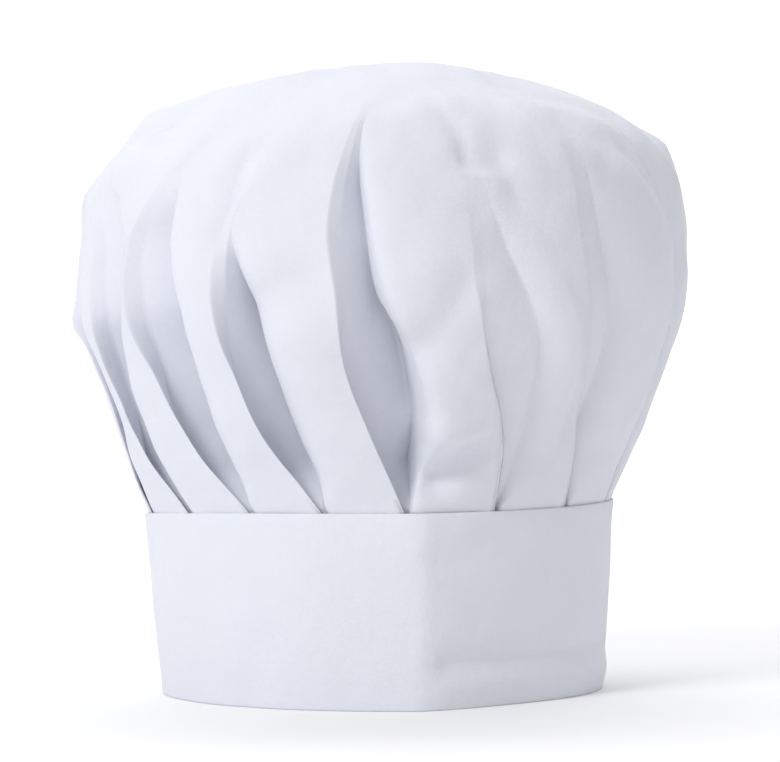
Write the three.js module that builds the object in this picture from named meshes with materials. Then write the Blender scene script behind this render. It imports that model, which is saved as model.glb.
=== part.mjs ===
// A chef's cap of white cotton: a tall puffed crown, folded into knife pleats at its foot,
// sewn into a plain straight headband. The cap stands on the band's lower edge.
// Millimetres, +Z up. A turn is an angle round the cap in degrees: 0 is the front (-Y), 90 the right (+X).
import * as THREE from "three";

const { PI, cos, exp, floor, hypot, max, min, sin } = Math;
const degrees = (value) => (value * PI) / 180;

// Driving dimensions
const RIM_RADIUS = 91.1; // outside of the band's lower edge, at the sides
const BAND_TOP_RADIUS = 96.9; // outside of its upper edge, at the sides
const BAND_DEPTH_RATIO = 0.93; // the band from front to back, over its width
const BAND_FLATNESS = 2.5; // how far the band falls in between its front, sides and back
const BAND_HEIGHT = 76;
const BAND_TILT = 1.8; // the band is this much taller at the right than at the middle
const BAND_SWING = 1.2; // its upper edge rises by this at the left of the front and falls at the right
const BAND_WALL = 2.2; // two layers of cotton and their interlining
const CROWN_WALL = 1.5;
const MITRE_LIMIT = 0.62; // least share of the wall kept where the crown's wall turns sharply
const GAP = 0.35; // between the crown and the band
const SEAM_INSET = 0.6; // the band's upper edge stands proud of the crown by this
const SEAM_ALLOWANCE = 7; // of the crown, turned down inside the band
const AXIS_SHIFT = -2; // puts the middle of the leaning crown over the origin

// Soft upright corners in the band, a plain one at the front and a weaker one at the back
const corners = [
  { turn: 10, rise: 6, spread: 20 },
  { turn: 190, rise: 3, spread: 24 },
];
const CORNER_ROUNDING = 2.5; // degrees
const FOOT_FADE = 0.25; // share of the crown's height in which it stops following the band

// The crown's outline without its pleats, at equal steps of its height along the cloth,
// from the seam up to the middle of the top. Lean moves a section to the right.
const outline = [
  { radius: BAND_TOP_RADIUS - SEAM_INSET, lean: 0, height: BAND_HEIGHT + GAP },
  { radius: 105.8, lean: 0.5, height: 101.9 },
  { radius: 115.8, lean: 1.4, height: 128.6 },
  { radius: 125.5, lean: 1.3, height: 155.3 },
  { radius: 125.3, lean: 3.2, height: 183.2 },
  { radius: 120.1, lean: 4.4, height: 210.2 },
  { radius: 102.7, lean: 4.6, height: 231.5 },
  { radius: 78.5, lean: 4.1, height: 243.9 },
  { radius: 51.4, lean: 4.7, height: 251.6 },
  { radius: 25.5, lean: 5.1, height: 255.1 },
  { radius: 0, lean: 5.1, height: 256.5 },
];
const DEPTH_RATIO = 0.98; // the crown from front to back, over its width
const SLOPE_STEP = 0.01; // share of the crown's height over which its slope is taken

// The tables below are read at equal steps of the crown's height, from the seam up.
const TABLE_STEP = 0.1;

// How far a pleat's valley lies under the outline, at each step.
const valleyDepths = [1.2, 10, 15, 13.5, 9, 5, 3];

// One row for each knife pleat. Top: the share of the crown's height where it ends. Depth: how deep
// it is against the table above. Edge: the turns of its folded edge at each step. Gap: the degrees
// from that edge to the valley beside it.
const pleats = [
  { top: 0.5, depth: 0.7, edge: [-78, -83, -85, -84, -85, -87, -88], gap: [1, 5, 8, 9, 7, 4, 2] },
  { top: 0.52, depth: 0.85, edge: [-56, -65, -70.5, -66.5, -68, -73, -77], gap: [1, 5, 8, 11, 12, 8, 3] },
  { top: 0.5, depth: 1.05, edge: [-34.5, -45, -50, -52, -52, -43, -36], gap: [1, 2, 8.5, 10.5, 8, 2, 1] },
  { top: 0.44, depth: 1.05, edge: [-14, -24.2, -28.8, -30.6, -30, -27.5, -26], gap: [1, 7, 8, 7, 2, 1, 1] },
  { top: 0.57, depth: 1.15, edge: [6, -0.7, -6.2, -7.4, -9.6, -8, -4], gap: [1, 9, 12.5, 8, 7.5, 6.5, 2] },
  { top: 0.62, depth: 0.85, edge: [29.5, 27.7, 21.3, 17.4, 15, 13.5, 13], gap: [1, 3, 5, 7, 7, 6, 4] },
  { top: 0.54, depth: 0.7, edge: [53.5, 49, 43.6, 40.2, 37, 35, 33], gap: [1, 3, 5, 6.5, 6.5, 5, 2] },
  { top: 0.6, depth: 0.45, edge: [75, 73, 71, 68.5, 65, 59, 56], gap: [1, 2.5, 4, 5, 6, 6, 3] },
  { top: 0.5, depth: 0.6, edge: [94, 90, 86.5, 85, 84, 82, 80], gap: [1, 3, 6, 7, 6, 4, 2] },
  { top: 0.56, depth: 0.95, edge: [114, 108, 104, 102, 101, 100, 99], gap: [1, 5, 8, 8, 7, 5, 3] },
  { top: 0.47, depth: 1, edge: [134, 127.5, 123, 121, 120, 120, 121], gap: [1, 4, 8, 9, 6, 3, 2] },
  { top: 0.54, depth: 1.05, edge: [155, 149, 144, 142, 141, 142, 144], gap: [1, 6, 9, 8, 8, 5, 2] },
  { top: 0.6, depth: 1, edge: [176, 169, 165, 162, 161, 160, 158], gap: [1, 4, 7, 9, 7, 6, 3] },
  { top: 0.47, depth: 1.1, edge: [197, 190, 185, 184, 183, 184, 185], gap: [1, 5, 8, 7, 5, 3, 2] },
  { top: 0.54, depth: 0.95, edge: [219, 212, 208, 206, 206, 205, 205], gap: [1, 4, 7, 9, 8, 5, 2] },
  { top: 0.5, depth: 1, edge: [240, 234, 230, 229, 228, 229, 230], gap: [1, 5, 8, 8, 6, 4, 2] },
  { top: 0.56, depth: 0.85, edge: [262, 256, 252, 252, 251, 252, 253], gap: [1, 4, 7, 8, 7, 5, 2] },
];
const PLEAT_FADE = 0.14; // share of the crown's height in which a pleat dies out below its top
const PANEL_ROUNDNESS = 2.2; // how quickly a panel rises out of the valley before it

// Soft hollows in the panels, each along a line from one place on the crown to another.
// Turns are in degrees, levels are shares of the crown's height, width and depth are in millimetres.
const hollows = [
  { from: { turn: -24, level: 0.27 }, to: { turn: -10, level: 0.37 }, width: 10, depth: 3.5 },
  { from: { turn: 2, level: 0.23 }, to: { turn: 13, level: 0.36 }, width: 10, depth: 4 },
  { from: { turn: 21, level: 0.5 }, to: { turn: 34, level: 0.35 }, width: 9, depth: 3.5 },
  { from: { turn: 130, level: 0.28 }, to: { turn: 138, level: 0.4 }, width: 11, depth: 3 },
  { from: { turn: 217, level: 0.22 }, to: { turn: 224, level: 0.36 }, width: 11, depth: 3 },
];
const CLOTH_LENGTH = 280; // millimetres of cloth from the seam to the middle of the top
const CLOTH_PER_DEGREE = 2.1; // millimetres of outline to a degree of turn, at the widest

// Facets
const BAND_COLUMNS = 72;
const bandLevels = [0, 0.22, 0.5, 0.78, 1]; // shares of the band's height
const panelShares = [0.1, 0.28, 0.52, 0.76]; // where columns cross a panel, from its valley to its edge
const crownLevels = [
  0, 0.025, 0.06, 0.1, 0.145, 0.19, 0.235, 0.28, 0.325, 0.37, 0.415, 0.46, 0.51, 0.56, 0.61, 0.67,
  0.74, 0.82, 0.91,
];

const mix = (a, b, share) => a + (b - a) * share;
const clamp = (value, low, high) => min(max(value, low), high);
const smooth = (value) => value * value * (3 - 2 * value);

// The shortest way from one turn to another, in degrees.
const turnBetween = (from, to) => ((((to - from + 180) % 360) + 360) % 360) - 180;

// A smooth curve through equally spaced values, read at share 0 to 1 of its length.
function curveThrough(values, share) {
  const steps = values.length - 1;
  const place = clamp(share, 0, 1) * steps;
  const i = min(floor(place), steps - 1);
  const f = place - i;
  const [b, c] = [values[i], values[i + 1]];
  const a = i > 0 ? values[i - 1] : 2 * b - c;
  const d = i < steps - 1 ? values[i + 2] : 2 * c - b;
  const linear = (c - a) * f;
  const square = (2 * a - 5 * b + 4 * c - d) * f * f;
  const cube = (3 * b - a - 3 * c + d) * f * f * f;
  return b + (linear + square + cube) / 2;
}

// How far the corners push the wall out at a turn.
function cornerRise(turn) {
  return corners.reduce((sum, corner) => {
    const away = hypot(turnBetween(corner.turn, turn), CORNER_ROUNDING) - CORNER_ROUNDING;
    return sum + corner.rise * exp(-away / corner.spread);
  }, 0);
}

const bandTop = (turn) =>
  BAND_HEIGHT + BAND_TILT * sin(degrees(turn)) - BAND_SWING * sin(degrees(2 * turn));

// The band's outside at a turn, share 0 at the lower edge and 1 at the upper one.
function bandRadius(turn, share) {
  const side = mix(RIM_RADIUS, BAND_TOP_RADIUS, share);
  const front = side * BAND_DEPTH_RATIO;
  const oval = (side * front) / hypot(front * sin(degrees(turn)), side * cos(degrees(turn)));
  return oval - BAND_FLATNESS * sin(degrees(2 * turn)) ** 2 + cornerRise(turn);
}

const atTurn = (radius, turn, height) =>
  new THREE.Vector3(radius * sin(degrees(turn)), -radius * cos(degrees(turn)), height);

const outlineAt = (name, level) => curveThrough(outline.map((row) => row[name]), level);

// A point on the crown's outline, sunk under it by a depth in millimetres.
function crownPoint(turn, level, depth) {
  const below = min(level, 1 - SLOPE_STEP);
  const rise = outlineAt("height", below + SLOPE_STEP) - outlineAt("height", below);
  const widen = outlineAt("radius", below + SLOPE_STEP) - outlineAt("radius", below);
  const inwards = (depth * rise) / hypot(rise, widen);
  const upwards = (depth * widen) / hypot(rise, widen);
  const foot = max(0, 1 - level / FOOT_FADE);
  const follow = (bandRadius(turn, 1) - BAND_TOP_RADIUS) * foot;
  const radius = outlineAt("radius", level) + follow - inwards;
  const height = outlineAt("height", level) + (bandTop(turn) - BAND_HEIGHT) * foot;
  const point = atTurn(radius, turn, height + upwards);
  point.x += outlineAt("lean", level);
  point.y *= mix(DEPTH_RATIO, 1, foot);
  return point;
}

// A column of a pleat's row, read at a level of the crown.
const readAt = (values, level) => curveThrough(values, level / (TABLE_STEP * (values.length - 1)));

// A pleat's edge, valley and depth at a level of the crown.
function pleatAt(pleat, level) {
  const edge = readAt(pleat.edge, level);
  const gap = max(readAt(pleat.gap, level), pleat.gap[0]);
  const fade = smooth(clamp((pleat.top - level) / PLEAT_FADE, 0, 1));
  return { edge, valley: edge + gap, depth: readAt(valleyDepths, level) * pleat.depth * fade };
}

// How deep the soft hollows are at a place on the crown.
function hollowDepth(turn, level) {
  return hollows.reduce((sum, { from, to, width, depth }) => {
    const lineX = turnBetween(from.turn, to.turn) * CLOTH_PER_DEGREE;
    const lineY = (to.level - from.level) * CLOTH_LENGTH;
    const x = turnBetween(from.turn, turn) * CLOTH_PER_DEGREE;
    const y = (level - from.level) * CLOTH_LENGTH;
    const along = clamp((x * lineX + y * lineY) / (lineX * lineX + lineY * lineY), 0, 1);
    const away = hypot(x - along * lineX, y - along * lineY);
    return sum + depth * exp(-((away / width) ** 2));
  }, 0);
}

// The turns of one level's columns, and how deep each is: for each pleat its edge, its valley,
// and the panel that rises from there to the next edge.
function columnsAt(level) {
  const folds = pleats.map((pleat) => pleatAt(pleat, level));
  return folds.flatMap((fold, i) => {
    const next = folds[(i + 1) % folds.length].edge + (i === folds.length - 1 ? 360 : 0);
    const panel = panelShares.map((share) => ({
      turn: mix(fold.valley, next, share),
      depth: fold.depth * (1 - share) ** PANEL_ROUNDNESS,
    }));
    return [{ turn: fold.edge, depth: 0 }, { turn: fold.valley, depth: fold.depth }, ...panel];
  });
}

const crownRing = (level) =>
  columnsAt(level).map(({ turn, depth }) => crownPoint(turn, level, depth + hollowDepth(turn, level)));

// The crown's foot below the seam follows the band: a ledge over the band's upper edge, then the
// seam allowance inside it. The drop is how far a ring lies under the ledge.
const footRing = (drop) =>
  columnsAt(0).map(({ turn }) => {
    const radius = bandRadius(turn, 1 - drop / BAND_HEIGHT) - BAND_WALL - GAP;
    return atTurn(radius, turn, bandTop(turn) + GAP - drop);
  });

// Moves a skin of rings inwards by a wall, along the mean of the faces that meet at each point.
function innerSkin(rings, wall) {
  const columns = rings[0].length;
  const faceNormal = (k, j) => {
    const [a, b] = [rings[k][j], rings[k][(j + 1) % columns]];
    const [d, c] = [rings[k + 1][j], rings[k + 1][(j + 1) % columns]];
    return c.clone().sub(a).cross(d.clone().sub(b)).normalize();
  };
  return rings.map((ring, k) =>
    ring.map((point, j) => {
      const before = (j + columns - 1) % columns;
      const rows = [k - 1, k].filter((row) => row >= 0 && row < rings.length - 1);
      const faces = rows.flatMap((row) => [faceNormal(row, before), faceNormal(row, j)]);
      const mean = faces.reduce((sum, face) => sum.add(face), new THREE.Vector3()).normalize();
      const cover = faces.reduce((sum, face) => sum + face.dot(mean), 0) / faces.length;
      return point.clone().addScaledVector(mean, -wall / clamp(cover, MITRE_LIMIT, 1));
    }),
  );
}

// A closed mesh from an outer and an inner skin of rings, joined at the lower edge,
// and at the upper edge too unless each skin ends in a point there.
function closedShell(outer, inner, outerTop, innerTop) {
  const columns = outer[0].length;
  const points = [...outer.flat(), ...inner.flat()];
  const at = (skin, k, j) => (skin * outer.length + k) * columns + (j % columns);
  const faces = [];
  const apart = (a, b) => points[a].distanceTo(points[b]);
  // A quad is cut along its shorter diagonal.
  const quad = (a, b, c, d) => {
    const halves = apart(a, c) < apart(b, d) ? [a, b, c, a, c, d] : [a, b, d, b, c, d];
    faces.push(...halves);
  };
  for (let j = 0; j < columns; j += 1) {
    for (let k = 0; k < outer.length - 1; k += 1) {
      quad(at(0, k, j), at(0, k, j + 1), at(0, k + 1, j + 1), at(0, k + 1, j));
      quad(at(1, k, j + 1), at(1, k, j), at(1, k + 1, j), at(1, k + 1, j + 1));
    }
    quad(at(0, 0, j + 1), at(0, 0, j), at(1, 0, j), at(1, 0, j + 1));
    const k = outer.length - 1;
    if (outerTop) {
      faces.push(at(0, k, j), at(0, k, j + 1), points.length);
      faces.push(at(1, k, j + 1), at(1, k, j), points.length + 1);
    } else {
      quad(at(0, k, j), at(0, k, j + 1), at(1, k, j + 1), at(1, k, j));
    }
  }
  if (outerTop) points.push(outerTop, innerTop);
  const geometry = new THREE.BufferGeometry().setFromPoints(points);
  geometry.setIndex(faces);
  geometry.computeVertexNormals();
  return geometry;
}

function crownGeometry() {
  const outer = [footRing(SEAM_ALLOWANCE), footRing(0), ...crownLevels.map(crownRing)];
  const inner = innerSkin(outer, CROWN_WALL);
  const top = crownPoint(0, 1, 0);
  const underTop = top.clone().setZ(top.z - CROWN_WALL);
  return closedShell(outer, inner, top, underTop);
}

function bandGeometry() {
  const turns = Array.from({ length: BAND_COLUMNS }, (_, i) => (360 * i) / BAND_COLUMNS);
  const skin = (inset) =>
    bandLevels.map((share) =>
      turns.map((turn) => atTurn(bandRadius(turn, share) - inset, turn, bandTop(turn) * share)),
    );
  return closedShell(skin(0), skin(BAND_WALL));
}

const cotton = new THREE.MeshStandardMaterial({ color: 0xf3f4fa, roughness: 0.85, metalness: 0 });

const crown = new THREE.Mesh(crownGeometry(), cotton.clone());
crown.name = "crown";

const headband = new THREE.Mesh(bandGeometry(), cotton.clone());
headband.name = "headband";

const cap = new THREE.Group();
cap.add(crown, headband);
cap.position.x = AXIS_SHIFT;

export default cap;
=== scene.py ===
import math

import bpy
import numpy as np
from mathutils import Matrix, Vector


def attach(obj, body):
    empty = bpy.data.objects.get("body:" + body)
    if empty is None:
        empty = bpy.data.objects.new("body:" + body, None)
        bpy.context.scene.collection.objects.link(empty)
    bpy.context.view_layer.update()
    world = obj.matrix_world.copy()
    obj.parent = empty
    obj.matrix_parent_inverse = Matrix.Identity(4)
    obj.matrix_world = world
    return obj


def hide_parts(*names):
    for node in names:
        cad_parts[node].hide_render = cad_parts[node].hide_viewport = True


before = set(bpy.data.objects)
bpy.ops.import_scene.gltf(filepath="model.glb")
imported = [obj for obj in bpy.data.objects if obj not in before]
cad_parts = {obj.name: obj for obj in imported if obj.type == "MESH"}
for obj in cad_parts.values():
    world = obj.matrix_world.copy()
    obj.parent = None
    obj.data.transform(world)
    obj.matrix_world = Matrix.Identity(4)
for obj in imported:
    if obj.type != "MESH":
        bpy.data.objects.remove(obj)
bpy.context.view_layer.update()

MM = 0.001

# Camera. Its distance, height and tilt are worked out from the photograph.
CAMERA_PLACE = (2.9, -1152.5, 117.0)
CAMERA_FOCAL = 2777.0  # in pixels of a picture 780 wide
PICTURE_WIDTH = 780
SENSOR_WIDTH = 36.0
CAMERA_PITCH = 0.516  # degrees up
CAMERA_ROLL = -0.78  # degrees

# Linear colour of the single cotton and of the doubled one, which lets less light through
CROWN_TINT = (0.735, 0.752, 0.825)
BAND_TINT = (0.750, 0.768, 0.838)

# Headband, as in the part's source but with a thinner wall and a sharper front corner
RIM_RADIUS = 91.1
BAND_TOP_RADIUS = 96.9
BAND_DEPTH_RATIO = 0.93  # the band from front to back, over its width
BAND_FLATNESS = 2.5  # how far it falls in between its front, sides and back
BAND_HEIGHT = 76.0
BAND_TILT = 1.8  # how far its upper edge rises to the right
BAND_SWING = 1.2  # how far that edge rises left of the front and falls right of it
BAND_WALL = 1.5
BAND_EDGE_ROUNDING = 0.7
AXIS_SHIFT = -2.0  # of the band's axis from the frame's, to the right

# Crown
CLOTH_THICKNESS = 0.55
CLOTH_LENGTH = 280.0  # of cloth from the seam to the middle of the top
CLOTH_PER_DEGREE = 2.1  # of outline to a degree of turn, at the crown's widest
SEAM_INSET = 1.3  # the crown comes out from behind the band's upper edge by this
SEAM_ALLOWANCE = 6.0
SEAM_STEP = 0.8  # how far under the band's upper edge the cloth turns down
SEAM_CLEARANCE = 0.1  # between the seam allowance and the band
DEPTH_RATIO = 0.98  # the crown from front to back, over its width
PLEAT_FADE = 0.11  # share of the height over which a pleat dies out under its top
PANEL_BULGE = 0.7  # how far the middle of a panel stands out
TABLE_STEP = 0.1  # of the height, from one value of a pleat's lists to the next
SLOPE_STEP = 0.01  # of the height, over which the outline's slope is taken
FOOT_FADE = 0.25  # share of the height over which the band's plan fades out of the crown's

# Soft upright corners in the band. Rise is in millimetres, turn and spread are in degrees.
corners = [
    {"turn": 10, "rise": 7, "spread": 15},
    {"turn": 190, "rise": 3, "spread": 24},
]
CORNER_ROUNDING = 1.6  # degrees

# The crown's outline at equal steps of its height. Lean: how far its middle lies to the right there.
outline = {
    "radius": [BAND_TOP_RADIUS - SEAM_INSET, 105.8, 115.8, 125.5, 125.3, 120.1, 102.7, 78.5, 51.4, 25.5, 0],
    "lean": [0, 0.5, 1.4, 1.3, 3.2, 4.4, 4.6, 4.1, 4.7, 5.1, 5.1],
    "height": [BAND_HEIGHT, 101.9, 128.6, 155.3, 183.2, 210.2, 231.5, 243.9, 251.6, 255.1, 256.5],
}

# How far a pleat's valley lies under the outline, at each step of the height
valley_depths = [14, 16, 18, 16, 10.5, 6, 3.5]
SEAM_DEPTH = 2.4  # of the folded layers where they are sewn down
COLUMN_SPREAD = 0.1  # share of the height above a pleat in which its mesh columns spread out
WALL_SOFTNESS = 2.0  # how quickly the cloth rises out of a valley, over the width of its pocket
LEAST_GAP = 0.2  # degrees between an edge and its valley
LEAST_WALL = 0.6  # degrees between a valley and its pocket's end
BULGE_START = 0.12  # share of the height over which the panels' roundness comes in
CREASE_START = 0.03  # the same for the creases
RIPPLE_START = 0.1  # the same for the ripples
RIPPLE_END = 0.2  # share of the height under the middle of the top over which the ripples die out

# The degrees from a pleat's edge to the underfold behind it, at each step of the height, and
# the share of the valley's depth that it lies at
underfolds = [-13, -8, -2.5, 1.5, 2, 1.5, 0.5]
UNDERFOLD_SHARE = 0.3
UNDERFOLD_LEAST = 1.4  # millimetres that it lies under the panel at least

# One row for each knife pleat, its lists read at each step of the height. Top: the level where it ends.
# Depth: its valley's depth over the one above. Opens: the share of the height in which it opens out
# above the seam. Edge: the turns of its folded edge. Gap: the degrees from that edge to the valley
# beside it. Pocket: the degrees from the edge to where the next panel starts.
pleats = [
    {"top": 0.50, "depth": 1.10, "opens": 0.14, "edge": [-78, -83, -85, -84, -85, -87, -88],
     "gap": [1, 2, 6, 7, 5, 3, 2], "pocket": [1, 6, 9, 10, 8, 5, 3]},
    {"top": 0.52, "depth": 1.30, "opens": 0.10, "edge": [-56, -65, -70.5, -66.5, -68, -73, -77],
     "gap": [1, 2, 8, 10, 10.5, 7, 2], "pocket": [1, 4, 10, 12.5, 13, 9, 3]},
    {"top": 0.50, "depth": 1.50, "opens": 0.05, "edge": [-34.5, -45.2, -50.1, -52, -52.2, -43, -36],
     "gap": [1, 4, 8, 11, 9, 3, 1], "pocket": [1, 8, 11, 14, 11.5, 5, 2]},
    {"top": 0.41, "depth": 1.35, "opens": 0.05, "edge": [-14, -24.2, -28.8, -30.6, -30, -27.5, -26],
     "gap": [1, 3, 4, 4.5, 2.5, 1.8, 1], "pocket": [1, 9, 9.5, 8.5, 4.5, 3, 2]},
    {"top": 0.57, "depth": 1.45, "opens": 0.05, "edge": [6, -0.7, -6.2, -7.4, -9.6, -8, -4],
     "gap": [1, 9, 11.5, 7, 6.2, 3, 1], "pocket": [1, 11.5, 13.5, 9, 7.6, 4.4, 2]},
    {"top": 0.47, "depth": 0.38, "opens": 0.22, "edge": [29.5, 27.7, 21.3, 17.4, 15, 13.5, 13],
     "gap": [1, 6, 12, 11, 6, 2, 1], "pocket": [1, 15, 20, 19, 13, 6, 3]},
    {"top": 0.52, "depth": 0.42, "opens": 0.22, "edge": [53.5, 49, 43.6, 40.2, 37, 35, 33],
     "gap": [1, 3, 8, 8.6, 6, 4, 3], "pocket": [1, 12, 16, 18, 15, 10, 6]},
    {"top": 0.60, "depth": 0.30, "opens": 0.25, "edge": [75, 73, 71, 68.5, 65, 59, 56],
     "gap": [1, 3, 5, 6, 7, 6, 4], "pocket": [1, 8, 10, 11, 12, 11, 8]},
    {"top": 0.50, "depth": 0.50, "opens": 0.20, "edge": [94, 90, 86.5, 85, 84, 82, 80],
     "gap": [1, 2, 5, 6, 5, 4, 2], "pocket": [1, 7, 10, 11, 10, 7, 4]},
    {"top": 0.56, "depth": 0.95, "opens": 0.05, "edge": [114, 108, 104, 102, 101, 100, 99],
     "gap": [1, 2, 6, 7, 6, 4, 2], "pocket": [1, 7, 10, 11, 9, 6, 4]},
    {"top": 0.47, "depth": 1.00, "opens": 0.05, "edge": [134, 127.5, 123, 121, 120, 120, 121],
     "gap": [1, 1, 5, 7, 5, 3, 2], "pocket": [1, 7, 10, 11, 8, 4, 3]},
    {"top": 0.54, "depth": 1.05, "opens": 0.05, "edge": [155, 149, 144, 142, 141, 142, 144],
     "gap": [1, 2, 7, 7, 7, 4, 2], "pocket": [1, 8, 11, 10, 10, 6, 3]},
    {"top": 0.60, "depth": 1.00, "opens": 0.05, "edge": [176, 169, 165, 162, 161, 160, 158],
     "gap": [1, 1, 5, 7, 6, 5, 3], "pocket": [1, 7, 9, 11, 9, 7, 4]},
    {"top": 0.47, "depth": 1.10, "opens": 0.05, "edge": [197, 190, 185, 184, 183, 184, 185],
     "gap": [1, 2, 6, 6, 4, 3, 2], "pocket": [1, 8, 10, 9, 7, 5, 3]},
    {"top": 0.54, "depth": 0.95, "opens": 0.05, "edge": [219, 212, 208, 206, 206, 205, 205],
     "gap": [1, 1, 5, 7, 7, 4, 2], "pocket": [1, 6, 9, 11, 10, 6, 3]},
    {"top": 0.50, "depth": 1.00, "opens": 0.05, "edge": [240, 234, 230, 229, 228, 229, 230],
     "gap": [1, 2, 6, 7, 5, 4, 2], "pocket": [1, 7, 10, 10, 8, 5, 3]},
    {"top": 0.56, "depth": 0.85, "opens": 0.05, "edge": [262, 256, 252, 252, 251, 252, 253],
     "gap": [1, 1, 5, 7, 6, 4, 2], "pocket": [1, 6, 9, 10, 9, 6, 3]},
]

# Hollows and creases of the crown's cloth. Along: turn and level of each point of its line.
# Width and depth are in millimetres, and a ridge's depth is below zero. Sharp is 1 for a crease
# and 0 for a soft hollow.
creases = [
    {"along": [(-21, 0.295), (-13, 0.325)], "width": 12, "depth": 4.6, "sharp": 0},
    {"along": [(13, 0.045), (21, 0.076)], "width": 9, "depth": 9, "sharp": 0},
    {"along": [(8, 0.118), (20, 0.116)], "width": 6, "depth": -2.6, "sharp": 0},
    {"along": [(9, 0.008), (16, 0.025), (26, 0.080)], "width": 5, "depth": -2.6, "sharp": 0.4},
    {"along": [(15, 0.325), (10, 0.258), (7, 0.233)], "width": 8, "depth": 2.6, "sharp": 0.2},
    {"along": [(-6, 0.547), (4, 0.573), (13, 0.598)], "width": 10, "depth": -2.2, "sharp": 0.5},
    {"along": [(10, 0.60), (14, 0.54), (15, 0.50)], "width": 4, "depth": 1.8, "sharp": 0.5},
    {"along": [(15, 0.50), (21, 0.50)], "width": 6, "depth": 2.6, "sharp": 0},
    {"along": [(14, 0.465), (20, 0.460)], "width": 5, "depth": -1.4, "sharp": 0},
    {"along": [(-26, 0.51), (-28, 0.44), (-30, 0.40)], "width": 5, "depth": 2.6, "sharp": 0.6},
    {"along": [(-55, 0.583), (-49, 0.487), (-61, 0.463)], "width": 5, "depth": 1.8, "sharp": 0.5},
    {"along": [(20, 0.52), (24, 0.44), (34, 0.355), (39, 0.292)], "width": 7, "depth": 1.0, "sharp": 0.2},
    {"along": [(28, 0.60), (34, 0.52)], "width": 5, "depth": -1.2, "sharp": 0.6},
    {"along": [(54, 0.53), (60, 0.47), (67, 0.425)], "width": 6, "depth": 2.4, "sharp": 0.4},
    {"along": [(66, 0.575), (73, 0.47)], "width": 5, "depth": -1.6, "sharp": 0.6},
    {"along": [(40, 0.58), (48, 0.54)], "width": 7, "depth": 1.2, "sharp": 0},
    {"along": [(45, 0.163), (58, 0.09)], "width": 8, "depth": 1.4, "sharp": 0.2},
    {"along": [(-98, 0.28), (-80, 0.30)], "width": 8, "depth": -3, "sharp": 0.6},
    {"along": [(-98, 0.465), (-84, 0.475)], "width": 8, "depth": -2.6, "sharp": 0.6},
    {"along": [(-88, 0.60), (-58, 0.62)], "width": 9, "depth": -2.6, "sharp": 0.6},
    {"along": [(78, 0.545), (104, 0.56)], "width": 9, "depth": -3.4, "sharp": 0.6},
    {"along": [(-40, 0.70), (0, 0.80), (30, 0.74)], "width": 12, "depth": -1.8, "sharp": 0.5},
    {"along": [(-70, 0.55), (-35, 0.66)], "width": 9, "depth": 1.8, "sharp": 0.3},
    {"along": [(34, 0.66), (60, 0.60)], "width": 9, "depth": 1.8, "sharp": 0.3},
    {"along": [(130, 0.28), (138, 0.4)], "width": 11, "depth": 3, "sharp": 0},
    {"along": [(217, 0.22), (224, 0.36)], "width": 11, "depth": 3, "sharp": 0},
]
CREASE_STEEPNESS = 1.5  # how quickly a sharp crease's sides rise, over its width

# Marks in the band's cloth, as above, with a share of the band's height in place of a level
band_marks = [
    {"along": [(16, 0.22), (50, 0.25), (84, 0.24)], "width": 4, "depth": 1.9, "sharp": 0.2},
    {"along": [(16, 0.10), (50, 0.11), (84, 0.11)], "width": 6, "depth": -1.3, "sharp": 0},
    {"along": [(-64, 0.40), (-36, 0.36)], "width": 7, "depth": 0.7, "sharp": 0},
    {"along": [(28, 0.86), (48, 0.70)], "width": 6, "depth": 0.7, "sharp": 0.2},
    {"along": [(13, 0.74), (24, 0.80)], "width": 5, "depth": 0.6, "sharp": 0},
    {"along": [(-38, 0.05), (-30, 0.34)], "width": 9, "depth": 1.3, "sharp": 0},
]

# Random ripples of the cloth, all in millimetres
crown_ripples = [
    {"seed": 3, "count": 14, "longest": 80, "shortest": 32, "height": 0.7},
    {"seed": 4, "count": 24, "longest": 32, "shortest": 13, "height": 0.26},
]
band_ripples = [
    {"seed": 7, "count": 12, "longest": 110, "shortest": 45, "height": 0.4},
    {"seed": 9, "count": 16, "longest": 40, "shortest": 18, "height": 0.12},
]

# Cotton: its surface, and the weave, slubs and crumples that the material raises, in metres
COTTON_SURFACE = {
    "Roughness": 0.85,
    "Specular IOR Level": 0.25,
    "Sheen Weight": 0.15,
    "Sheen Roughness": 0.5,
}
THREAD_SPACING = 0.00045
WEAVE_HEIGHT = 0.00003
SLUB_HEIGHT = 0.00006
CRUMPLE_HEIGHT = 0.0019
BUMP_STRENGTH = 0.6
slub_noise = {"Scale": 900.0, "Detail": 3.0}
crumple_noise = {"Scale": 55.0, "Detail": 4.0, "Roughness": 0.55}
mottle_noise = {"Scale": 18.0, "Detail": 3.0}
MOTTLE_SHADE = 0.97  # of the cotton's colour, where it is darkest
MOTTLE_RANGE = (0.3, 0.7)  # of the noise, between the darkest and the lightest

# Paper floor and backdrop, in metres
FLOOR_HALF = 6.0
FLOOR_BACK = 1.2
BEND_RADIUS = 1.6
BEND_STEPS = 15
BACKDROP_HEIGHT = 5.0
PAPER_SURFACE = {"Roughness": 0.9, "Specular IOR Level": 0.1}
PAPER_TINTS = ((0.93, 0.93, 0.935, 1), (0.95, 0.95, 0.955, 1))
paper_noise = {"Scale": 6.0, "Detail": 2.0}

# Studio light: a soft key from the left, one on the backdrop, and the white room round them.
# Places are in metres, powers in watts.
lights = [
    {"name": "key", "place": (-0.948, -1.130, 1.162), "aim": (0, 0, 0.13), "size": 0.5, "power": 13.0},
    {"name": "backdrop_light", "place": (0, 1.0, 2.4), "aim": (0, 3.0, 0.2), "size": 2.0, "power": 41.0},
]
ROOM_LIGHT = 0.61

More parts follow.
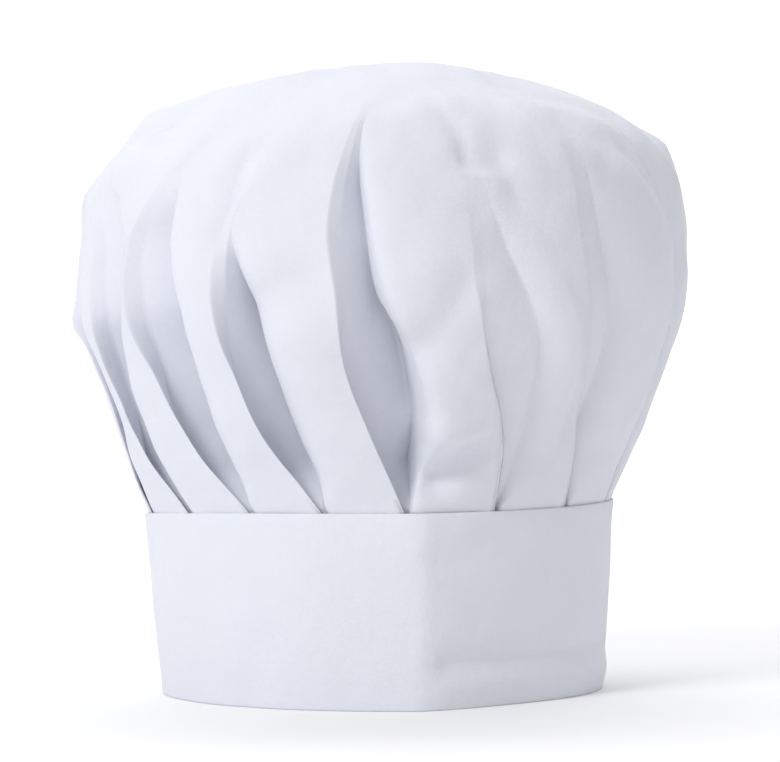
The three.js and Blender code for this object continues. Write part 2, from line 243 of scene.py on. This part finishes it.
# Mesh steps. The stretches of a pleat run from its edge to the underfold, the valley, the next panel
# and the next edge. Cut is the share of the pleat's flat cloth where the stretch ends.
stretches = [
    {"columns": 4, "cut": 0.20},
    {"columns": 6, "cut": 0.42},
    {"columns": 7, "cut": 0.60},
    {"columns": 11, "cut": 1.00},
]
CROWN_ROWS = 84
ROW_CROWDING = 1.6  # above 1 it crowds the rows towards the seam
BAND_COLUMNS = 288
BAND_ROWS = 26
ROLL_STEPS = (30, 60, 90, 120, 150)  # degrees round the band's rolled edges
CUT_MAP = "cut"  # the UV map that holds the flat cut, in metres


def mix(a, b, share):
    return a + (b - a) * share


def smooth(value):
    value = np.clip(value, 0, 1)
    return value * value * (3 - 2 * value)


def turn_between(start, end):
    """The shortest way from one turn to another, in degrees."""
    return (end - start + 180) % 360 - 180


def curve_through(values, share):
    """A smooth curve through equally spaced values, read at shares 0 to 1 of its length."""
    values = np.asarray(values, float)
    steps = len(values) - 1
    place = np.clip(share, 0, 1) * steps
    i = np.minimum(np.floor(place).astype(int), steps - 1)
    f = place - i
    padded = np.concatenate([[2 * values[0] - values[1]], values, [2 * values[-1] - values[-2]]])
    a, b, c, d = (padded[i + k] for k in range(4))
    square = (2 * a - 5 * b + 4 * c - d) * f * f
    cube = (3 * b - a - 3 * c + d) * f * f * f
    return b + ((c - a) * f + square + cube) / 2


def corner_rise(turn):
    """How far the corners push the wall out."""
    rise = np.zeros_like(turn)
    for corner in corners:
        away = np.hypot(turn_between(corner["turn"], turn), CORNER_ROUNDING) - CORNER_ROUNDING
        rise = rise + corner["rise"] * np.exp(-away / corner["spread"])
    return rise


def band_top(turn):
    angle = np.radians(turn)
    return BAND_HEIGHT + BAND_TILT * np.sin(angle) - BAND_SWING * np.sin(2 * angle)


def band_radius(turn, share):
    """The band's outside, share 0 at the lower edge and 1 at the upper one."""
    angle = np.radians(turn)
    side = mix(RIM_RADIUS, BAND_TOP_RADIUS, share)
    front = side * BAND_DEPTH_RATIO
    oval = side * front / np.hypot(front * np.sin(angle), side * np.cos(angle))
    return oval - BAND_FLATNESS * np.sin(2 * angle) ** 2 + corner_rise(turn)


def at_turn(radius, turn, height):
    angle = np.radians(turn)
    return np.stack([radius * np.sin(angle), -radius * np.cos(angle), height], axis=-1)


def crown_points(turn, level, depth):
    """Points on the crown's outline, sunk under it by a depth."""
    column = {name: curve_through(values, level) for name, values in outline.items()}
    below = np.minimum(level, 1 - SLOPE_STEP)
    rise, widen = (
        curve_through(outline[name], below + SLOPE_STEP) - curve_through(outline[name], below)
        for name in ("height", "radius")
    )
    length = np.hypot(rise, widen)
    foot = np.maximum(0, 1 - level / FOOT_FADE)
    radius = column["radius"] + (band_radius(turn, 1) - BAND_TOP_RADIUS) * foot - depth * rise / length
    height = column["height"] + (band_top(turn) - BAND_HEIGHT) * foot + depth * widen / length
    points = at_turn(radius, turn, height)
    points[..., 0] += column["lean"]
    points[..., 1] *= mix(DEPTH_RATIO, 1, foot)
    return points


def read_at(values, level):
    return curve_through(values, level / (TABLE_STEP * (len(values) - 1)))


def crease_depth(rows, turn, height, per_degree):
    """How deep the creases of a table are at each turn and height. All heights are in millimetres."""
    total = np.zeros_like(turn)
    for row in rows:
        nearest = np.full_like(turn, np.inf)
        for (turn_a, height_a), (turn_b, height_b) in zip(row["along"], row["along"][1:]):
            line_x, line_y = turn_between(turn_a, turn_b) * per_degree, height_b - height_a
            x, y = turn_between(turn_a, turn) * per_degree, height - height_a
            along = np.clip((x * line_x + y * line_y) / (line_x**2 + line_y**2), 0, 1)
            nearest = np.minimum(nearest, np.hypot(x - along * line_x, y - along * line_y))
        away = nearest / row["width"]
        total += row["depth"] * mix(np.exp(-(away**2)), np.exp(-away * CREASE_STEEPNESS), row["sharp"])
    return total


def scaled(rows, length):
    """A crease table with its shares of a length turned into millimetres."""
    return [{**row, "along": [(turn, share * length) for turn, share in row["along"]]} for row in rows]


def pleat_columns(pleat, edge, following, level):
    """The columns of one pleat at a level, from its edge to the following pleat's edge.

    Gives each column's turn, its depth and its share of the pleat's flat cloth."""
    fade = smooth((pleat["top"] - level) / PLEAT_FADE)
    opened = smooth(level / pleat["opens"])
    deepest = mix(SEAM_DEPTH, read_at(valley_depths, level) * pleat["depth"], opened) * fade
    valley = edge + max(read_at(pleat["gap"], level), LEAST_GAP)
    start = max(edge + read_at(pleat["pocket"], level), valley + LEAST_WALL)
    folded = np.array([edge, edge + read_at(underfolds, level), valley, start, following])
    # Above the pleat's end its columns spread out evenly over the plain cloth.
    held = smooth((pleat["top"] + COLUMN_SPREAD - level) / COLUMN_SPREAD)
    cut_stops = np.array([0] + [stretch["cut"] for stretch in stretches])
    turn_stops = mix(mix(edge, following, cut_stops), folded, held)
    under_depths = [0, max(UNDERFOLD_SHARE * deepest, UNDERFOLD_LEAST * fade), deepest]
    turns, depths, cuts = [], [], []
    for k, stretch in enumerate(stretches):
        shares = smooth(np.arange(stretch["columns"]) / stretch["columns"])
        turn = mix(turn_stops[k], turn_stops[k + 1], shares)
        if k + 1 < len(under_depths):
            depth = mix(under_depths[k], under_depths[k + 1], shares)
        else:
            # The cloth rises from the valley, ever more gently, up to the next edge.
            climb = (turn - turn_stops[2]) / (turn_stops[3] - turn_stops[2])
            across = (turn - turn_stops[2]) / (turn_stops[4] - turn_stops[2])
            swell = PANEL_BULGE * smooth(level / BULGE_START) * fade * np.sin(math.pi * across)
            depth = deepest * np.exp(-WALL_SOFTNESS * climb) * (1 - across**2) - swell
        turns.append(turn)
        depths.append(depth)
        cuts.append(mix(cut_stops[k], cut_stops[k + 1], shares))
    return [np.concatenate(parts) for parts in (turns, depths, cuts)]


def crown_columns(level):
    """For each column of the crown at a level: its turn, its depth and its angle in the flat disc."""
    edges = [read_at(pleat["edge"], level) for pleat in pleats]
    edges.append(edges[0] + 360)
    columns = [pleat_columns(pleat, *edges[i : i + 2], level) for i, pleat in enumerate(pleats)]
    turns, depths, cuts = (np.concatenate(parts) for parts in zip(*columns))
    before = np.repeat(np.arange(len(pleats)), len(turns) // len(pleats))
    return turns, depths, (before + cuts) * 360 / len(pleats)


def ripples(points, rows):
    """A smooth random ripple over a surface. Each row of the table adds waves of its height and lengths."""
    total = np.zeros(points.shape[:-1])
    for row in rows:
        random = np.random.RandomState(row["seed"])
        for _ in range(row["count"]):
            length = row["longest"] * (row["shortest"] / row["longest"]) ** random.rand()
            way = random.normal(size=3)
            phase = random.rand() * math.tau
            along = points @ (way / np.linalg.norm(way))
            total += np.sin(along * math.tau / length + phase) * row["height"] / math.sqrt(row["count"])
    return total


def ring_mesh(name, points, uvs, top=None, closed=False):
    """A mesh from rows of points that run once round. uvs has one more column, where the rows meet.

    top is a point that closes the last row. With closed, the last row joins the first."""
    rows, columns = points.shape[:2]
    verts = points.reshape(-1, 3)
    faces, places = [], []
    for k in range(rows - 1 + closed):
        low, high = k * columns, (k + 1) % rows * columns
        for j in range(columns):
            after = (j + 1) % columns
            faces.append((low + j, low + after, high + after, high + j))
            places += [uvs[k, j], uvs[k, j + 1], uvs[k + 1, j + 1], uvs[k + 1, j]]
    if top is not None:
        last = (rows - 1) * columns
        for j in range(columns):
            faces.append((last + j, last + (j + 1) % columns, len(verts)))
            places += [uvs[-1, j], uvs[-1, j + 1], (0, 0)]
        verts = np.vstack([verts, top])
    mesh = bpy.data.meshes.new(name)
    mesh.from_pydata(((verts + [AXIS_SHIFT, 0, 0]) * MM).tolist(), [], faces)
    mesh.polygons.foreach_set("use_smooth", [True] * len(faces))
    layer = mesh.uv_layers.new(name=CUT_MAP)
    layer.data.foreach_set("uv", (np.array(places) * MM).ravel())
    piece = bpy.data.objects.new(name, mesh)
    bpy.context.scene.collection.objects.link(piece)
    return piece


def behind_band(turn, depth, drop):
    """The crown's cloth at a drop below the seam, where it goes down behind the band."""
    inside = band_radius(turn, 1 - drop / BAND_HEIGHT) - BAND_WALL - SEAM_CLEARANCE
    return at_turn(inside - depth, turn, band_top(turn) - drop)


def flat_disc(levels, drops, cut):
    """Where each point of the crown lies in the flat disc that it is cut from."""
    distance = np.concatenate([CLOTH_LENGTH + np.array(drops), CLOTH_LENGTH * (1 - levels)])
    angle = np.radians(np.concatenate([cut[:1]] * len(drops) + [cut]))
    angle = np.hstack([angle, angle[:, :1] + math.tau])
    return np.stack([distance[:, None] * np.sin(angle), distance[:, None] * np.cos(angle)], axis=-1)


def make_crown():
    """The crown: a disc of cotton, pleated into the band all round."""
    share = np.linspace(0, 1, CROWN_ROWS + 1)[:-1]
    levels = (share + share**ROW_CROWDING) / 2
    turn, depth, cut = (np.array(x) for x in zip(*[crown_columns(level) for level in levels]))
    level = np.repeat(levels[:, None], turn.shape[1], axis=1)
    dents = crease_depth(scaled(creases, CLOTH_LENGTH), turn, level * CLOTH_LENGTH, CLOTH_PER_DEGREE)
    soft = ripples(crown_points(turn, level, np.zeros_like(turn)), crown_ripples)
    soft = soft * smooth(level / RIPPLE_START) * smooth((1 - level) / RIPPLE_END)
    depth = depth + dents * smooth(level / CREASE_START) + soft
    drops = [SEAM_ALLOWANCE, SEAM_ALLOWANCE / 2, SEAM_STEP]
    foot = [behind_band(turn[0], depth[0], drop) for drop in drops]
    points = np.concatenate([np.array(foot), crown_points(turn, level, depth)])
    uvs = flat_disc(levels, drops, cut)
    top = crown_points(np.array(0.0), np.array(1.0), np.array(0.0))
    piece = ring_mesh("pleated_crown", points, uvs, top)
    solid = piece.modifiers.new("thickness", "SOLIDIFY")
    solid.thickness = CLOTH_THICKNESS * MM
    solid.offset = -1  # inwards
    return piece


def band_relief(turn, share):
    """Soft undulation and marks of the band's outside."""
    y = np.full_like(turn, share * BAND_HEIGHT)
    dents = crease_depth(scaled(band_marks, BAND_HEIGHT), turn, y, math.radians(1) * BAND_TOP_RADIUS)
    return ripples(at_turn(band_radius(turn, share), turn, y), band_ripples) - dents


def rolled_edge(outer, inward, out):
    """The rows round a rolled edge, from the outside to the inside. out is how far it stands out."""
    rows = []
    for angle in np.radians(ROLL_STEPS):
        inset = (1 - math.cos(angle)) / 2 * BAND_WALL
        rows.append(outer - inward * inset + out * math.sin(angle))
    return rows


def make_band():
    """The headband: doubled cotton with rolled edges."""
    turn = np.linspace(0, 360, BAND_COLUMNS + 1)[:-1]
    rows = []
    for share in np.linspace(0, 1, BAND_ROWS):
        height = mix(BAND_EDGE_ROUNDING, band_top(turn) - BAND_EDGE_ROUNDING, share)
        rows.append(at_turn(band_radius(turn, share) + band_relief(turn, share), turn, height))
    outer = np.array(rows)
    inward = outer * [1, 1, 0] / np.linalg.norm(outer[..., :2], axis=-1, keepdims=True)
    inner = outer - inward * BAND_WALL
    up = np.array([0, 0, BAND_EDGE_ROUNDING])
    upper = rolled_edge(outer[-1], inward[-1], up)
    lower = rolled_edge(outer[0], inward[0], -up)
    ring = np.concatenate([outer, upper, inner[::-1], lower[::-1]])
    steps = np.linalg.norm(np.diff(ring, axis=0, append=ring[:1]), axis=-1).mean(axis=1)
    along = np.concatenate([[0], np.cumsum(steps)])
    girth = np.radians(np.append(turn, 360)) * BAND_TOP_RADIUS
    uvs = np.stack(np.broadcast_arrays(girth[None, :], along[:, None]), axis=-1)
    return ring_mesh("headband_cloth", ring, uvs, closed=True)


def set_inputs(node, values):
    for name, value in values.items():
        node.inputs[name].default_value = value


class Nodes:
    """Builds a node tree with short calls."""

    def __init__(self, material):
        material.use_nodes = True
        self.tree = material.node_tree
        self.shader = self.tree.nodes["Principled BSDF"]

    def add(self, kind, inputs=None, **settings):
        node = self.tree.nodes.new(kind)
        for name, value in settings.items():
            setattr(node, name, value)
        set_inputs(node, inputs or {})
        return node

    def link(self, source, target):
        self.tree.links.new(source, target)

    def math(self, operation, a, b=0.0):
        node = self.add("ShaderNodeMath", operation=operation)
        for socket, value in zip(node.inputs, (a, b)):
            if isinstance(value, (int, float)):
                socket.default_value = value
            else:
                self.link(value, socket)
        return node.outputs[0]

    def noise(self, place, values):
        """A noise texture, over the object's own box where no place is given."""
        node = self.add("ShaderNodeTexNoise", values)
        if place is not None:
            self.link(place, node.inputs["Vector"])
        return node.outputs[0]


def cotton(name, tint):
    """Plain-woven white cotton: threads, slubs and crumples as bump, and a slightly mottled colour."""
    material = bpy.data.materials.new(name)
    nodes = Nodes(material)
    set_inputs(nodes.shader, COTTON_SURFACE)
    cut_place = nodes.add("ShaderNodeUVMap", uv_map=CUT_MAP).outputs[0]
    split = nodes.add("ShaderNodeSeparateXYZ")
    nodes.link(cut_place, split.inputs[0])
    scale = math.pi / THREAD_SPACING
    warp = nodes.math("SINE", nodes.math("MULTIPLY", split.outputs[0], scale))
    weft = nodes.math("SINE", nodes.math("MULTIPLY", split.outputs[1], scale))
    weave = nodes.math("MULTIPLY", warp, weft)
    object_place = nodes.add("ShaderNodeTexCoord").outputs["Object"]
    slub = nodes.noise(cut_place, slub_noise)
    crumple = nodes.noise(object_place, crumple_noise)
    threads = nodes.math("MULTIPLY", weave, WEAVE_HEIGHT)
    fine = nodes.math("ADD", threads, nodes.math("MULTIPLY", slub, SLUB_HEIGHT))
    height = nodes.math("ADD", fine, nodes.math("MULTIPLY", crumple, CRUMPLE_HEIGHT))
    bump = nodes.add("ShaderNodeBump", {"Strength": BUMP_STRENGTH, "Distance": 1.0})
    nodes.link(height, bump.inputs["Height"])
    nodes.link(bump.outputs[0], nodes.shader.inputs["Normal"])
    shades = [[c * MOTTLE_SHADE for c in tint], tint]
    ramp = nodes.add("ShaderNodeValToRGB")
    for element, place, shade in zip(ramp.color_ramp.elements, MOTTLE_RANGE, shades):
        element.position = place
        element.color = (*shade, 1)
    nodes.link(nodes.noise(object_place, mottle_noise), ramp.inputs[0])
    nodes.link(ramp.outputs[0], nodes.shader.inputs["Base Color"])
    return material


def make_camera():
    data = bpy.data.cameras.new("camera")
    data.sensor_width = SENSOR_WIDTH
    data.lens = SENSOR_WIDTH * CAMERA_FOCAL / PICTURE_WIDTH
    camera = bpy.data.objects.new("camera", data)
    camera.location = Vector(CAMERA_PLACE) * MM
    level = Matrix.Rotation(math.radians(90 + CAMERA_PITCH), 3, "X")
    camera.rotation_euler = (level @ Matrix.Rotation(math.radians(CAMERA_ROLL), 3, "Z")).to_euler()
    bpy.context.scene.collection.objects.link(camera)
    bpy.context.scene.camera = camera


def make_light(row):
    data = bpy.data.lights.new(row["name"], "AREA")
    data.size = row["size"]
    data.energy = row["power"]
    light = bpy.data.objects.new(row["name"], data)
    light.location = row["place"]
    way = Vector(row["aim"]) - Vector(row["place"])
    light.rotation_euler = way.to_track_quat("-Z", "Y").to_euler()
    bpy.context.scene.collection.objects.link(light)


def paper():
    """Pale paper with a faint uneven shade."""
    material = bpy.data.materials.new("paper")
    nodes = Nodes(material)
    set_inputs(nodes.shader, PAPER_SURFACE)
    ramp = nodes.add("ShaderNodeValToRGB")
    for element, tint in zip(ramp.color_ramp.elements, PAPER_TINTS):
        element.color = tint
    nodes.link(nodes.noise(None, paper_noise), ramp.inputs[0])
    nodes.link(ramp.outputs[0], nodes.shader.inputs["Base Color"])
    return material


def make_stage():
    """A floor that curves up into a backdrop behind the cap."""
    bend = np.linspace(0, math.pi / 2, BEND_STEPS + 1)
    profile = [(-FLOOR_HALF, 0.0)]
    profile += [
        (FLOOR_BACK + BEND_RADIUS * math.sin(angle), BEND_RADIUS * (1 - math.cos(angle))) for angle in bend
    ]
    profile.append((FLOOR_BACK + BEND_RADIUS, BACKDROP_HEIGHT))
    verts = [(side * FLOOR_HALF, y, z) for y, z in profile for side in (-1, 1)]
    faces = [(2 * k, 2 * k + 1, 2 * k + 3, 2 * k + 2) for k in range(len(profile) - 1)]
    mesh = bpy.data.meshes.new("floor")
    mesh.from_pydata(verts, [], faces)
    mesh.polygons.foreach_set("use_smooth", [True] * len(faces))
    mesh.materials.append(paper())
    floor = bpy.data.objects.new("floor", mesh)
    bpy.context.scene.collection.objects.link(floor)


def make_room_light():
    """The white room round the cap."""
    world = bpy.data.worlds.new("studio")
    world.use_nodes = True
    set_inputs(world.node_tree.nodes["Background"], {"Color": (1, 1, 1, 1), "Strength": ROOM_LIGHT})
    bpy.context.scene.world = world


make_camera()
make_stage()
make_room_light()
for row in lights:
    make_light(row)

crown = make_crown()
crown.data.materials.append(cotton("crown_cotton", CROWN_TINT))
band = make_band()
band.data.materials.append(cotton("band_cotton", BAND_TINT))
for piece, node, slot in ((crown, "crown", "crown_cotton"), (band, "headband", "band_cotton")):
    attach(piece, "root")
    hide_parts(node)

bpy.context.scene.view_settings.view_transform = "Standard"
